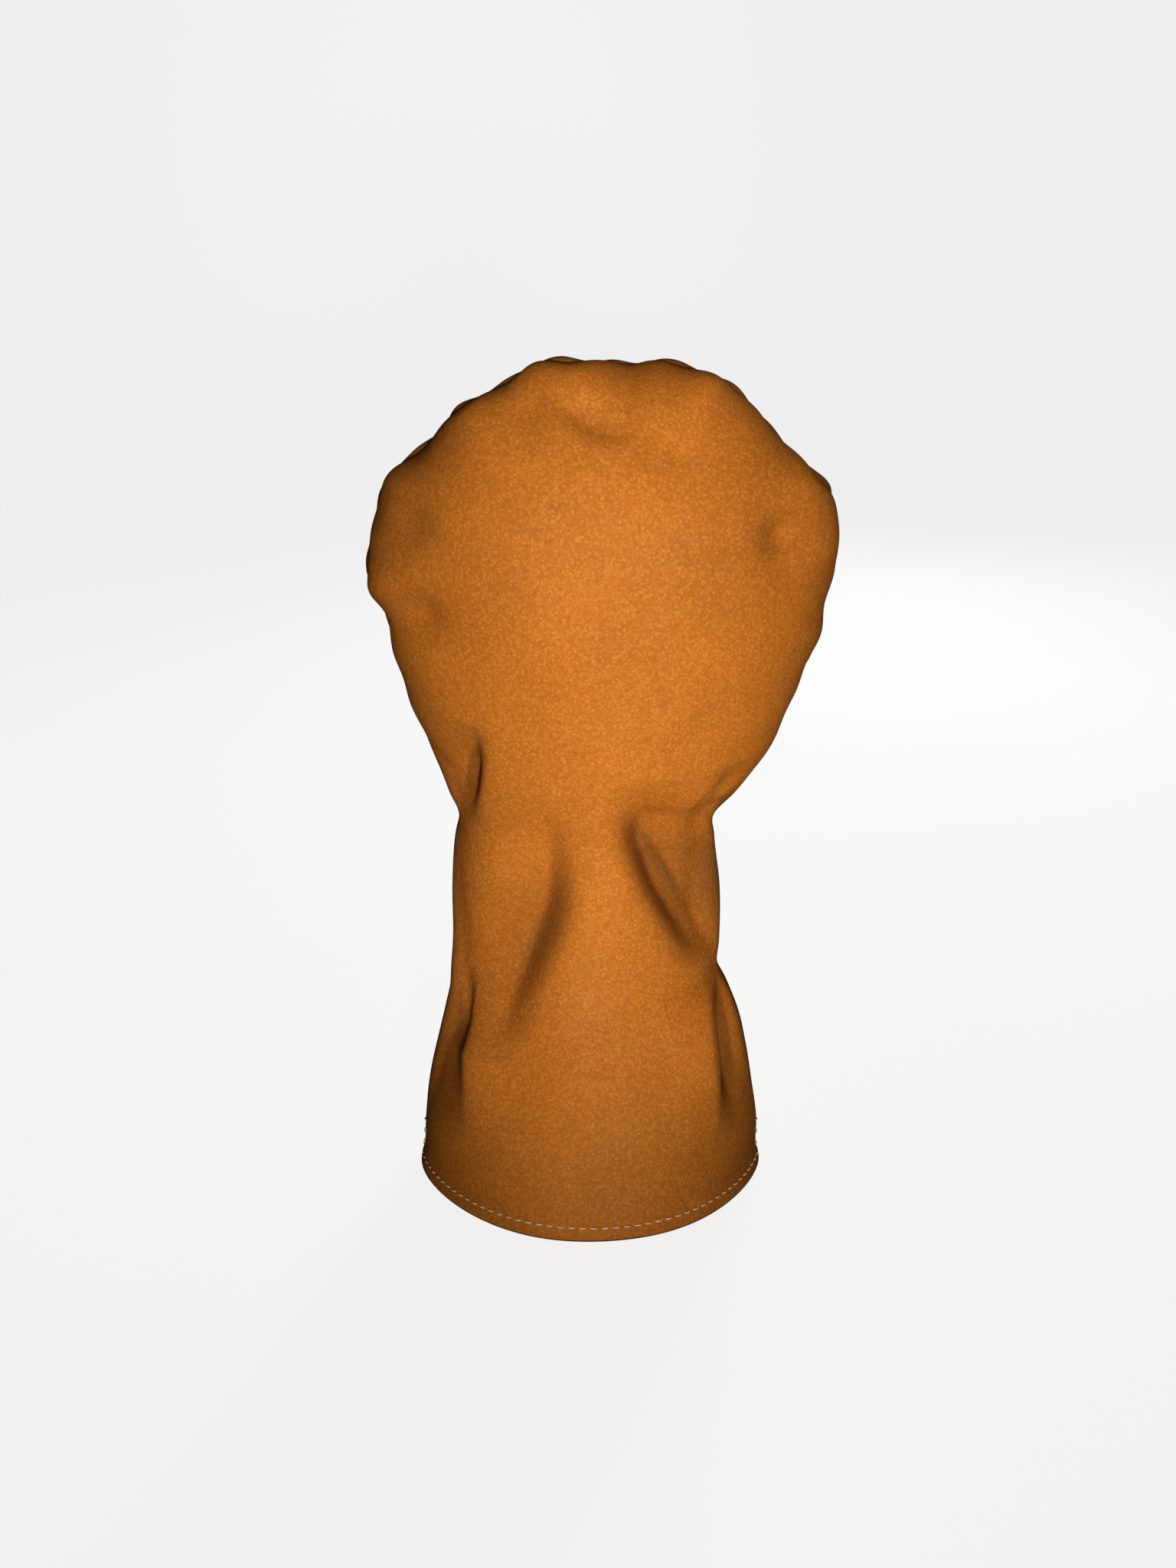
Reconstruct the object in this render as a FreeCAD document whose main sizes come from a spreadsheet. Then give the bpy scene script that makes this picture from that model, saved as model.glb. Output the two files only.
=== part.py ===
"""Leather head cover for a golf driver: two leather panels, a plush lining, a neck elastic and their threads.

The cover stands on its hem, crown up. Origin: centre of the hem, on the surface it stands on.
+Z runs up the cover to the crown, +X across it, and -Y points out of the front panel.
"""

import FreeCAD
import Part

import math
import os

import Sketcher

SIZES = (
    ("overall_height", 310.0, "hem to crown"),
    ("head_width", 162.0, "across the widest level of the head"),
    ("head_front_depth", 50.0, "seam plane to the front of the head"),
    ("head_back_depth", 45.0, "seam plane to the back of the head"),
    ("head_level", 241.0, "height of the widest level of the head"),
    ("neck_width", 98.0, "across the neck"),
    ("neck_front_depth", 38.0, "seam plane to the front of the neck"),
    ("neck_back_depth", 28.0, "seam plane to the back of the neck"),
    ("neck_level", 117.5, "height of the middle of the neck"),
    ("neck_margin", 2.0, "straight neck above and below the elastic"),
    ("hem_width", 131.0, "across the open hem"),
    ("hem_front_depth", 60.0, "seam plane to the front of the hem"),
    ("hem_back_depth", 60.0, "seam plane to the back of the hem"),
    ("leather_thickness", 1.3, "both leather panels"),
    ("seam_allowance", 4.0, "leather turned inwards along the panel seam"),
    ("hem_turnup", 12.0, "leather folded up inside the hem"),
    ("lining_thickness", 6.0, "plush pile and its backing"),
    ("elastic_width", 60.0, "height of the neck elastic"),
    ("elastic_thickness", 1.2, "woven elastic"),
    ("elastic_end_gap", 6.0, "seam plane to each end of the elastic"),
    ("thread_diameter", 0.6, "all sewing thread"),
    ("thread_clearance", 0.05, "gap between a thread and the faces beside it"),
    ("stitch_pitch", 4.0, "from one stitch to the next"),
    ("stitch_length", 2.6, "of one stitch that shows"),
    ("hem_stitch_level", 6.0, "height of the row round the hem"),
    ("side_stitch_offset", 5.0, "side rows from the seam plane"),
    ("side_stitch_bottom", 9.0, "lower end of the side rows"),
    ("side_stitch_top", 20.0, "upper end of the side rows"),
    ("elastic_row_inset", 2.5, "outer elastic rows from the elastic's edges"),
)

FLARE_POWER = 1.6  # how roundly the skirt and the head open from the neck
FLARE_STEPS = (0.0, 0.08, 0.25, 0.5, 0.75)  # from the wide end (0) towards the neck (1)
CROWN_ANGLES = (20.0, 38.0, 54.0, 68.0, 79.0, 86.0)  # degrees up the crown's quarter ellipse
QUARTER_ARC = 0.5523  # control length that makes a cubic quarter curve elliptical
REACH = 500.0  # half size of the blocks that divide the cover, past every limit of it
THREAD_ROOM = "(Sizes.thread_diameter + 2 * Sizes.thread_clearance)"  # gap that a thread lies in
RUN_STEP = 0.5  # fineness of the lines that stitches are spaced along


def make_sheet(doc):
    """The spreadsheet of driving dimensions."""
    sheet = doc.addObject("Spreadsheet::Sheet", "Sizes")
    for row, (alias, value, note) in enumerate(SIZES, start=1):
        sheet.set(f"A{row}", alias)
        sheet.set(f"B{row}", str(value))
        sheet.set(f"C{row}", note)
        sheet.setAlias(f"B{row}", alias)
    doc.recompute()
    return sheet


def blend(wide, narrow, share):
    """Expression that is `wide` at share 1 and `narrow` at share 0."""
    return f"({narrow} + {share:.5f} * ({wide} - {narrow}))"


def stations(inset):
    """Half width, front depth, back depth and height of each level, `inset` inside the outer face."""
    head = ("Sizes.head_width / 2", "Sizes.head_front_depth", "Sizes.head_back_depth")
    neck = ("Sizes.neck_width / 2", "Sizes.neck_front_depth", "Sizes.neck_back_depth")
    hem = ("Sizes.hem_width / 2", "Sizes.hem_front_depth", "Sizes.hem_back_depth")
    half_neck = "(Sizes.elastic_width / 2 + Sizes.neck_margin)"
    neck_bottom = f"(Sizes.neck_level - {half_neck})"
    neck_top = f"(Sizes.neck_level + {half_neck})"
    rows = []
    for step in FLARE_STEPS:
        share = 1 - step**FLARE_POWER
        level = f"{step} * {neck_bottom}"
        rows.append([f"{blend(h, n, share)} - {inset}" for h, n in zip(hem, neck)] + [level])
    for level in (neck_bottom, "Sizes.neck_level", neck_top):
        rows.append([f"{n} - {inset}" for n in neck] + [level])
    for step in reversed(FLARE_STEPS):
        share = 1 - step**FLARE_POWER
        level = f"Sizes.head_level - {step} * (Sizes.head_level - {neck_top})"
        rows.append([f"{blend(h, n, share)} - {inset}" for h, n in zip(head, neck)] + [level])
    top = math.sin(math.radians(CROWN_ANGLES[-1]))
    for angle in CROWN_ANGLES:
        across = math.cos(math.radians(angle))
        up = math.sin(math.radians(angle)) / top
        level = f"Sizes.head_level + {up:.5f} * (Sizes.overall_height - Sizes.head_level - {inset})"
        rows.append([f"{across:.5f} * ({h} - {inset})" for h in head] + [level])
    return rows


def half_oval(sketch, side, half_width, depth):
    """Adds one cubic half oval on the sketch's X axis, `depth` along side * Y, and returns its index."""
    x, y, k = 50.0, 40.0 * side, QUARTER_ARC
    poles = [(-x, 0), (-x, k * y), (-k * x, y), (0, y), (k * x, y), (x, k * y), (x, 0)]
    curve = Part.BSplineCurve()
    corners = [FreeCAD.Vector(*p, 0) for p in poles]
    curve.buildFromPolesMultsKnots(corners, [4, 3, 4], [0, 0.5, 1], False, 3)
    index = sketch.addGeometry(curve, False)
    sketch.exposeInternalGeometry(index)
    pole = [index + 1 + n for n in range(len(poles))]
    for left, right in ((0, 6), (1, 5), (2, 4)):
        sketch.addConstraint(Sketcher.Constraint("Symmetric", pole[left], 3, pole[right], 3, -2))
    sketch.addConstraint(Sketcher.Constraint("PointOnObject", pole[6], 3, -1))
    sketch.addConstraint(Sketcher.Constraint("PointOnObject", pole[3], 3, -2))
    sizes = (
        ("DistanceX", 6, x, half_width),
        ("DistanceX", 5, x, half_width),
        ("DistanceX", 4, k * x, f"{k} * ({half_width})"),
        ("DistanceY", 5, k * abs(y), f"{k} * ({depth})"),
        ("DistanceY", 4, abs(y), depth),
        ("DistanceY", 3, abs(y), depth),
    )
    for kind, which, value, expression in sizes:
        ends = (-1, 1, pole[which], 3)
        if kind == "DistanceY" and side < 0:
            ends = (pole[which], 3, -1, 1)
        number = sketch.addConstraint(Sketcher.Constraint(kind, *ends, value))
        sketch.setExpression(f"Constraints[{number}]", expression)
    return index


def section(doc, name, half_width, front_depth, back_depth, level):
    """One closed cross-section of the cover: a front and a back half oval that share their ends."""
    sketch = doc.addObject("Sketcher::SketchObject", name)
    half_oval(sketch, -1, half_width, front_depth)
    half_oval(sketch, 1, half_width, back_depth)
    sketch.setExpression("Placement.Base.z", level)
    return sketch


def envelope(doc, name, inset="0"):
    """Solid bounded by the cover's outer face moved inwards by `inset`."""
    loft = doc.addObject("Part::Loft", name)
    rows = enumerate(stations(inset))
    loft.Sections = [section(doc, f"{name}_section_{n}", *row) for n, row in rows]
    loft.Solid = True
    loft.Ruled = False
    return loft


def block(doc, name, low, high):
    """Box between two corners, whose coordinates are expressions."""
    box = doc.addObject("Part::Box", name)
    for axis, side, lo, hi in zip("xyz", ("Length", "Width", "Height"), low, high):
        box.setExpression(f"Placement.Base.{axis}", lo)
        box.setExpression(side, f"({hi}) - ({lo})")
    return box


def slab(doc, name, axis, lo, hi):
    """Block that is unlimited except between `lo` and `hi` along one axis."""
    low, high = [f"-{REACH}"] * 3, [f"{REACH}"] * 3
    low["xyz".index(axis)], high["xyz".index(axis)] = lo, hi
    return block(doc, name, low, high)


def cut(doc, name, base, tool):
    """Part::Cut of two objects."""
    result = doc.addObject("Part::Cut", name)
    result.Base, result.Tool = base, tool
    return result


def common(doc, name, base, tool):
    """Part::Common of two objects."""
    result = doc.addObject("Part::Common", name)
    result.Base, result.Tool = base, tool
    return result


def make_faces(doc):
    """The envelopes that the pieces fill the space between, outermost first."""
    leather = "Sizes.leather_thickness"
    allowance = f"({leather} + Sizes.seam_allowance)"
    return {
        "outer": envelope(doc, "outer_face"),
        "leather": envelope(doc, "leather_inner_face", leather),
        "turnup": envelope(doc, "turnup_inner_face", f"(2 * {leather})"),
        "elastic": envelope(doc, "elastic_inner_face", f"({leather} + Sizes.elastic_thickness)"),
        "allowance": envelope(doc, "allowance_edge", allowance),
        "room": envelope(doc, "thread_room_edge", f"({allowance} + {THREAD_ROOM})"),
        "lining": envelope(doc, "lining_inner_face", f"({leather} + Sizes.lining_thickness)"),
    }


def make_leather(doc, faces, halves):
    """Front and back panel: an outer skin with its seam allowance and its hem turned in."""
    leather = "Sizes.leather_thickness"
    skin = cut(doc, "skin", faces["outer"], faces["leather"])
    allowance_ring = cut(doc, "allowance_ring", faces["leather"], faces["allowance"])
    seam_zone = slab(doc, "seam_zone", "y", f"-{leather}", leather)
    allowance = common(doc, "turned_allowance", allowance_ring, seam_zone)
    turnup_ring = cut(doc, "turnup_ring", faces["leather"], faces["turnup"])
    hem_zone = slab(doc, "hem_zone", "z", "0", "Sizes.hem_turnup")
    turnup = common(doc, "turned_hem", turnup_ring, hem_zone)
    cover = doc.addObject("Part::MultiFuse", "leather_cover")
    cover.Shapes = [skin, allowance, turnup]
    return [common(doc, f"{side}_panel", cover, half) for side, half in halves.items()]


def make_elastic(doc, faces):
    """Woven band between the back panel and the lining, as high as the neck."""
    ring = cut(doc, "elastic_ring", faces["leather"], faces["elastic"])
    half_width = "Sizes.elastic_width / 2"
    low = [f"-{REACH}", "Sizes.elastic_end_gap", f"Sizes.neck_level - {half_width}"]
    high = [f"{REACH}", f"{REACH}", f"Sizes.neck_level + {half_width}"]
    return common(doc, "neck_elastic", ring, block(doc, "elastic_zone", low, high))


def make_lining(doc, faces, halves, elastic):
    """Front and back lining, cleared round the seam allowance, its thread, the turned hem and the elastic."""
    pile = cut(doc, "pile", faces["leather"], faces["lining"])
    room_half = f"(Sizes.leather_thickness + {THREAD_ROOM})"
    room_ring = cut(doc, "room_ring", faces["leather"], faces["room"])
    room_zone = slab(doc, "room_zone", "y", f"-{room_half}", room_half)
    room = common(doc, "seam_room", room_ring, room_zone)
    below = slab(doc, "below_lining", "z", f"-{REACH}", "Sizes.hem_turnup")
    cleared = doc.addObject("Part::MultiFuse", "cleared_for_leather")
    cleared.Shapes = [room, below, elastic]
    lining = cut(doc, "lining_cover", pile, cleared)
    return [common(doc, f"{side}_lining", lining, half) for side, half in halves.items()]


def section_run(shape, normal, distance, keep):
    """Close-set points, in order, along the part of a plane section of a solid for which `keep` holds."""
    edges = [e for wire in shape.slice(normal, distance) for e in wire.Edges]
    points = []
    for edge in Part.sortEdges(edges)[0]:
        run = edge.discretize(Distance=RUN_STEP)
        if points and run[0].distanceToPoint(points[-1]) > run[-1].distanceToPoint(points[-1]):
            run.reverse()
        points += run[1:] if points else run
    left_out = next((n for n, point in enumerate(points) if not keep(point)), None)
    if left_out is None:
        return points
    points = points[left_out:] + points[:left_out]
    return [point for point in points if keep(point)]


def spaced(points, sizes, shift=0.0):
    """Start and end of each stitch along a run of points, with the pitch rounded to fit the run."""
    lengths = [0.0]
    for before, after in zip(points, points[1:]):
        lengths.append(lengths[-1] + before.distanceToPoint(after))

    def at(target):
        n = next(i for i, length in enumerate(lengths) if length >= target)
        if n == 0:
            return points[0]
        share = (target - lengths[n - 1]) / (lengths[n] - lengths[n - 1])
        return points[n - 1] + (points[n] - points[n - 1]) * share

    count = max(1, round(lengths[-1] / sizes.stitch_pitch))
    step = lengths[-1] / count
    starts = [(n + shift) * step for n in range(count)]
    ends = [start + min(sizes.stitch_length, 0.8 * step) for start in starts]
    return [(at(start), at(end)) for start, end in zip(starts, ends) if end <= lengths[-1]]


def stitch(start, end, diameter):
    """Bar of thread from one point to another."""
    return Part.makeCylinder(diameter / 2, start.distanceToPoint(end), start, end - start)


def thread_node(doc, name, stitches):
    """One sub-part made of separate stitches."""
    node = doc.addObject("Part::Feature", name)
    node.Shape = Part.makeCompound(stitches)
    return node


def thread_lift(sizes):
    """Distance from a face to the middle of a thread that lies on it."""
    return sizes.thread_diameter / 2 + sizes.thread_clearance


def level_row(face, level, sizes, side, keep, shift=0.0):
    """Stitches along a face at one height, lying outside it (side 1) or inside it (side -1)."""
    row = []
    points = section_run(face.Shape, FreeCAD.Vector(0, 0, 1), level, keep)
    for start, end in spaced(points, sizes, shift):
        along = (end - start).normalize()
        out = FreeCAD.Vector(along.y, -along.x, 0)
        if out.dot(start) < 0:
            out = -out
        offset = out * side * thread_lift(sizes)
        row.append(stitch(start + offset, end + offset, sizes.thread_diameter))
    return row


def everywhere(point):
    """Keeps every point of a run."""
    return True


def row_inside_hem(faces, level, sizes, shift=0.0):
    """Stitches along the inside of the turned hem, left out where the seam allowance is in the way."""
    margin = sizes.leather_thickness + sizes.thread_diameter
    row = []
    for side in (-1, 1):

        def beside_seam(point, side=side):
            return point.y * side > margin

        row += level_row(faces["turnup"], level, sizes, -1, beside_seam, shift)
    return row


def make_hem_topstitch(doc, faces, sizes):
    """The row that holds the turned hem: its stitches outside, and inside between them."""
    outside = level_row(faces["outer"], sizes.hem_stitch_level, sizes, 1, everywhere)
    inside = row_inside_hem(faces, sizes.hem_stitch_level, sizes, shift=0.5)
    return thread_node(doc, "hem_topstitch", outside + inside)


def make_lining_hem_thread(doc, faces, sizes):
    """The row in the corner where the lining meets the edge of the turned hem."""
    row = row_inside_hem(faces, sizes.hem_turnup - thread_lift(sizes), sizes)
    return thread_node(doc, "lining_hem_thread", row)


def make_elastic_rows(doc, faces, sizes):
    """Three rows across the back of the neck that hold the elastic."""

    def beside_elastic(point):
        return point.y > sizes.elastic_end_gap

    reach = sizes.elastic_width / 2 - sizes.elastic_row_inset
    nodes = []
    for name, offset in (("lower", -reach), ("middle", 0.0), ("upper", reach)):
        row = level_row(faces["outer"], sizes.neck_level + offset, sizes, 1, beside_elastic)
        nodes.append(thread_node(doc, f"elastic_{name}_stitching", row))
    return nodes


def make_side_topstitch(doc, faces, sizes, name, side):
    """Short upright row in front of one side seam, with a row across the seam at its upper end."""

    def upright(point):
        return point.x * side > 0 and sizes.side_stitch_bottom <= point.z <= sizes.side_stitch_top

    def across(point):
        return point.x * side > 0 and abs(point.y) <= sizes.side_stitch_offset + sizes.stitch_length

    plane = FreeCAD.Vector(0, 1, 0)
    points = section_run(faces["outer"].Shape, plane, -sizes.side_stitch_offset, upright)
    offset = FreeCAD.Vector(side * thread_lift(sizes), 0, 0)
    ends = spaced(points, sizes)
    row = [stitch(start + offset, end + offset, sizes.thread_diameter) for start, end in ends]
    level = sizes.side_stitch_top + 2 * thread_lift(sizes)
    row += level_row(faces["outer"], level, sizes, 1, across)
    return thread_node(doc, f"{name}_side_topstitch", row)


def make_panel_seam_thread(doc, faces, sizes):
    """The seam that closes the two panels: stitches on both faces of the turned allowance."""

    def above_hem(point):
        return point.z > sizes.hem_turnup + sizes.thread_diameter

    points = section_run(faces["turnup"].Shape, FreeCAD.Vector(0, 1, 0), 0, above_hem)
    row = []
    for side, shift in ((-1, 0.0), (1, 0.5)):
        offset = FreeCAD.Vector(0, side * (sizes.leather_thickness + thread_lift(sizes)), 0)
        for start, end in spaced(points, sizes, shift):
            row.append(stitch(start + offset, end + offset, sizes.thread_diameter))
    return thread_node(doc, "panel_seam_thread", row)


def make_lining_seam_thread(doc, faces, sizes):
    """Short stitches across the joint of the two linings, inside the edge of the panels' allowance."""

    def above_hem(point):
        return point.z > sizes.hem_turnup + sizes.thread_diameter

    points = section_run(faces["allowance"].Shape, FreeCAD.Vector(0, 1, 0), 0, above_hem)
    middle = FreeCAD.Vector(0, 0, sizes.neck_level)
    half_length = FreeCAD.Vector(0, sizes.stitch_length / 2, 0)
    row = []
    for start, end in spaced(points, sizes):
        along = (end - start).normalize()
        inwards = FreeCAD.Vector(-along.z, 0, along.x)
        if inwards.dot(start - middle) > 0:
            inwards = -inwards
        place = start + inwards * thread_lift(sizes)
        row.append(stitch(place - half_length, place + half_length, sizes.thread_diameter))
    return thread_node(doc, "lining_seam_thread", row)


def build():
    """Makes the document and returns its sub-parts."""
    doc = FreeCAD.newDocument("head_cover")
    sizes = make_sheet(doc)
    faces = make_faces(doc)
    halves = {
        "front": slab(doc, "front_half", "y", f"-{REACH}", "0"),
        "back": slab(doc, "back_half", "y", "0", f"{REACH}"),
    }
    parts = make_leather(doc, faces, halves)
    elastic = make_elastic(doc, faces)
    parts += [elastic, *make_lining(doc, faces, halves, elastic)]
    doc.recompute()
    parts += [
        make_hem_topstitch(doc, faces, sizes),
        make_lining_hem_thread(doc, faces, sizes),
        *make_elastic_rows(doc, faces, sizes),
        make_side_topstitch(doc, faces, sizes, "left", -1),
        make_side_topstitch(doc, faces, sizes, "right", 1),
        make_panel_seam_thread(doc, faces, sizes),
        make_lining_seam_thread(doc, faces, sizes),
    ]
    doc.recompute()
    failed = [o.Name for o in doc.Objects if {"Invalid", "Error"} & set(o.State)]
    if failed:
        raise RuntimeError(f"objects that failed to build: {failed}")
    return parts


def export(parts):
    """Writes one STEP file for each sub-part, once they are all sound."""
    for part in parts:
        if part.Shape.isNull() or not part.Shape.isValid() or not part.Shape.Solids:
            raise RuntimeError(f"{part.Label} has no sound shape")
    os.makedirs("parts", exist_ok=True)
    for part in parts:
        part.Shape.exportStep(f"parts/{part.Label}.step")
        print(part.Label, len(part.Shape.Solids), "solids", round(part.Shape.Volume), "mm3")


export(build())
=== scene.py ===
"""Visual model of a slip-on leather head cover for a golf driver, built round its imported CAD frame."""

import enum
import logging
import math
from collections.abc import Callable
from dataclasses import dataclass

import bmesh
import bpy
import numpy as np
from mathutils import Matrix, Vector, noise


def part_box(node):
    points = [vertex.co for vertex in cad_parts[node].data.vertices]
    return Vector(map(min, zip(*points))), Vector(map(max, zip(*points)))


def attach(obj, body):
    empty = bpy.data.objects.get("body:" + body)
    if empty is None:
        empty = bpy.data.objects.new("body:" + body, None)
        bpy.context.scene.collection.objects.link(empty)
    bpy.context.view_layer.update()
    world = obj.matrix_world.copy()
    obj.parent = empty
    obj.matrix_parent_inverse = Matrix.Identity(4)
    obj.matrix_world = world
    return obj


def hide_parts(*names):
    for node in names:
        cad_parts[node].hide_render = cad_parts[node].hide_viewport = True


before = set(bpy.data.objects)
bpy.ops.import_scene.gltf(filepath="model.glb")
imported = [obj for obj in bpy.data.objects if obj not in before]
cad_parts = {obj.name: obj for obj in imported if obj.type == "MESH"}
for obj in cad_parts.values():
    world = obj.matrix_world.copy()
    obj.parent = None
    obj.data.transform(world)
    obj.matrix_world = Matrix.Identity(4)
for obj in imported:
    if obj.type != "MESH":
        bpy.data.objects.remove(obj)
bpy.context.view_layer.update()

LOG = logging.getLogger("head_cover")
MM = 0.001
BODY = "root"
HALF_TURN = math.pi / 2
# Point attribute of painted shade: how far the leather's colour is darkened towards a shadow tone.
PAINTED_SHADE = "painted_shade"

Array = np.ndarray
FaceFunction = Callable[["Side", Array, Array], Array]
Socket = bpy.types.NodeSocket
Colour = tuple[float, float, float, float]


class Side(enum.Enum):
    """One of the two panels, with the direction that it faces along Y."""

    FRONT = -1
    BACK = 1


# ---- shape of the cover


@dataclass(frozen=True)
class Level:
    """One level of the cover's outline, in millimetres."""

    height: float
    left: float
    right: float
    front: float
    back: float


@dataclass(frozen=True)
class Dimple:
    """A soft oval hollow in one panel, in millimetres."""

    x: float
    z: float
    width: float
    height: float
    depth: float
    side: Side = Side.FRONT

    def depth_at(self, x: Array, z: Array) -> Array:
        """Depth of the hollow at places on the panel.

        Args:
            x: Places across the cover.
            z: Heights.

        Returns:
            The depth at each place.
        """
        across, along = (x - self.x) / self.width, (z - self.z) / self.height
        return self.depth * np.exp(-(across**2 + along**2))


def curve_through(places: Array, values: Array, at: Array) -> Array:
    """Smooth curve through points, as cubic pieces.

    Args:
        places: Rising places of the points.
        values: The curve's value at each.
        at: Where to read the curve.

    Returns:
        The curve's values.
    """
    places, values = np.asarray(places, float), np.asarray(values, float)
    step = np.diff(places)
    rise = np.diff(values) / step
    slope = np.empty_like(values)
    slope[1:-1] = (rise[:-1] * step[1:] + rise[1:] * step[:-1]) / (step[:-1] + step[1:])
    slope[0], slope[-1] = rise[0], rise[-1]
    n = np.clip(np.searchsorted(places, at) - 1, 0, len(step) - 1)
    u = np.clip((at - places[n]) / step[n], 0, 1)
    start = values[n] * (1 + 2 * u) * (1 - u) ** 2 + values[n + 1] * u**2 * (3 - 2 * u)
    return start + step[n] * (slope[n] * u * (1 - u) ** 2 - slope[n + 1] * u**2 * (1 - u))


def smooth_step(low: float, high: float, at: Array) -> Array:
    """0 below `low`, 1 above `high`, and a soft ramp between."""
    u = np.clip((at - low) / (high - low), 0, 1)
    return u * u * (3 - 2 * u)


def unit(vectors: Array) -> Array:
    """The same directions with a length of 1."""
    return vectors / np.linalg.norm(vectors, axis=-1, keepdims=True)


def waviness(at: Array, lengths: tuple[float, ...], seed: int) -> Array:
    """Smooth irregular wave between about -1 and 1.

    Args:
        at: Places along a line.
        lengths: Wave lengths to add up, longest first.
        seed: Picks the phases.

    Returns:
        The wave's value at each place.
    """
    phases = np.random.default_rng(seed).uniform(0, 2 * np.pi, len(lengths))
    total = sum(np.sin(2 * np.pi * at / length + phase) for length, phase in zip(lengths, phases))
    return total / len(lengths)


@dataclass(frozen=True)
class Fold:
    """A fold that runs up one panel, in millimetres.

    `line` gives height, x and depth along it from its lower end; a depth below zero is a ridge. `left` and
    `right` are the widths of its two banks, so that one bank can be steeper than the other. Past its ends it
    dies away within `run_out`.
    """

    line: tuple[tuple[float, float, float], ...]
    left: float
    right: float
    side: Side = Side.FRONT
    run_out: float = 9.0

    def depth_at(self, x: Array, z: Array) -> Array:
        """Depth of the fold at places on the panel.

        Args:
            x: Places across the cover.
            z: Heights.

        Returns:
            The depth at each place.
        """
        heights, middles, depths = zip(*self.line)
        middle = curve_through(heights, middles, z)
        reach = (heights[0] - self.run_out, *heights, heights[-1] + self.run_out)
        depth = curve_through(reach, (0, *depths, 0), z)
        lean = (middles[-1] - middles[0]) / (heights[-1] - heights[0])
        across = (x - middle) * math.cos(math.atan(lean))
        return depth * np.exp(-((across / np.where(across > 0, self.right, self.left)) ** 2))


@dataclass(frozen=True)
class Swing:
    """A stretch where the seam swings to the front, in millimetres along the seam."""

    place: float
    half: float
    reach: float

    def reach_at(self, place: Array) -> Array:
        """How far the seam swings at places along it."""
        return self.reach * np.exp(-(((place - self.place) / self.half) ** 2))


@dataclass(frozen=True)
class Gathers:
    """Pleats that the elastic draws the back of the neck into, in millimetres.

    Fine pleats lie over the elastic and are pressed down along its rows of stitching. Past its edges they
    run together into coarse ones, which fan out and die away.
    """

    middle: float
    half_height: float
    half_width: float
    radius: float = 45.0
    pleat: float = 8.6
    height: float = 1.9
    pressed: float = 0.9
    coarse_height: float = 2.6
    tuck: float = 0.6
    fan: float = 90.0
    fine_run_out: float = 9.0
    coarse_from: float = 8.0
    coarse_run_out: float = 26.0
    edge_margin: float = 3.0
    row_margin: float = 2.5
    side_fade: tuple[float, float] = (2.0, 12.0)

    def lift(self, point: Array) -> Array:
        """Outward swell of the pleats.

        Args:
            point: Points of the smooth back panel.

        Returns:
            The swell at each.
        """
        above = point[..., 2] - self.middle
        beyond = np.clip(np.abs(above) - (self.half_height - self.edge_margin), 0, None)
        share = (point[..., 0] / (1 + beyond / self.fan)) / self.half_width
        arc = np.arcsin(np.clip(share, -1, 1)) * self.radius
        drift = 2.2 * waviness(point[..., 2] + 0.4 * arc, (61, 37, 23), 3) + 1.6 * waviness(arc, (31, 19), 5)
        fine = np.abs(np.sin(np.pi * (arc + drift) / self.pleat)) ** 0.7
        coarse = np.abs(np.sin(np.pi * (arc + 1.4 * drift + 2) / (2 * self.pleat))) ** 0.8
        rows = np.cos(2 * np.pi * above / (self.half_height - self.row_margin))
        inside = np.exp(-((beyond / self.fine_run_out) ** 2)) * (self.height - self.pressed * rows)
        outside = self.coarse_height * np.exp(-((beyond / self.coarse_run_out) ** 2))
        outside = outside * (1 - np.exp(-((beyond / self.coarse_from) ** 2)))
        return smooth_step(*self.side_fade, point[..., 1]) * (inside * fine + outside * coarse - self.tuck)


LEVELS = (
    Level(0, -64.8, 66.3, 60.0, 60.0),
    Level(4, -64.6, 66.4, 59.9, 59.8),
    Level(9, -63.4, 65.2, 59.2, 59.0),
    Level(20, -62.6, 65.0, 57.6, 56.6),
    Level(37, -60.8, 62.6, 54.0, 51.0),
    Level(56, -56.8, 59.4, 48.8, 43.0),
    Level(69, -53.8, 56.4, 44.0, 36.0),
    Level(79, -51.6, 52.2, 40.0, 31.0),
    Level(86, -51.2, 48.5, 38.0, 28.2),
    Level(95, -50.5, 49.0, 37.4, 27.4),
    Level(117, -50.3, 48.8, 38.0, 28.0),
    Level(137, -48.8, 46.4, 37.8, 27.6),
    Level(146, -47.2, 46.0, 38.0, 28.0),
    Level(155, -50.6, 54.0, 39.6, 30.0),
    Level(167, -55.0, 62.4, 41.6, 33.2),
    Level(184, -62.0, 71.0, 44.6, 37.4),
    Level(202, -67.0, 78.0, 46.8, 40.5),
    Level(220, -72.2, 83.2, 49.0, 43.4),
    Level(231, -75.4, 85.2, 49.8, 44.6),
    Level(241, -76.7, 85.9, 50.0, 45.0),
)

# Crown outline: degrees round the head from its right side, and reach against a true half oval.
CROWN_OUTLINE = (
    (0, 1.0), (12, 1.024), (21, 1.04), (28, 0.998), (36, 0.97), (45, 0.985), (55, 1.012), (67, 1.042),
    (75, 1.022), (82, 0.972), (89, 0.996), (100, 1.02), (110, 1.004), (119, 0.972), (127, 0.972),
    (136, 0.944), (146, 0.953), (157, 0.998), (168, 0.997), (180, 1.0),
)

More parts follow.
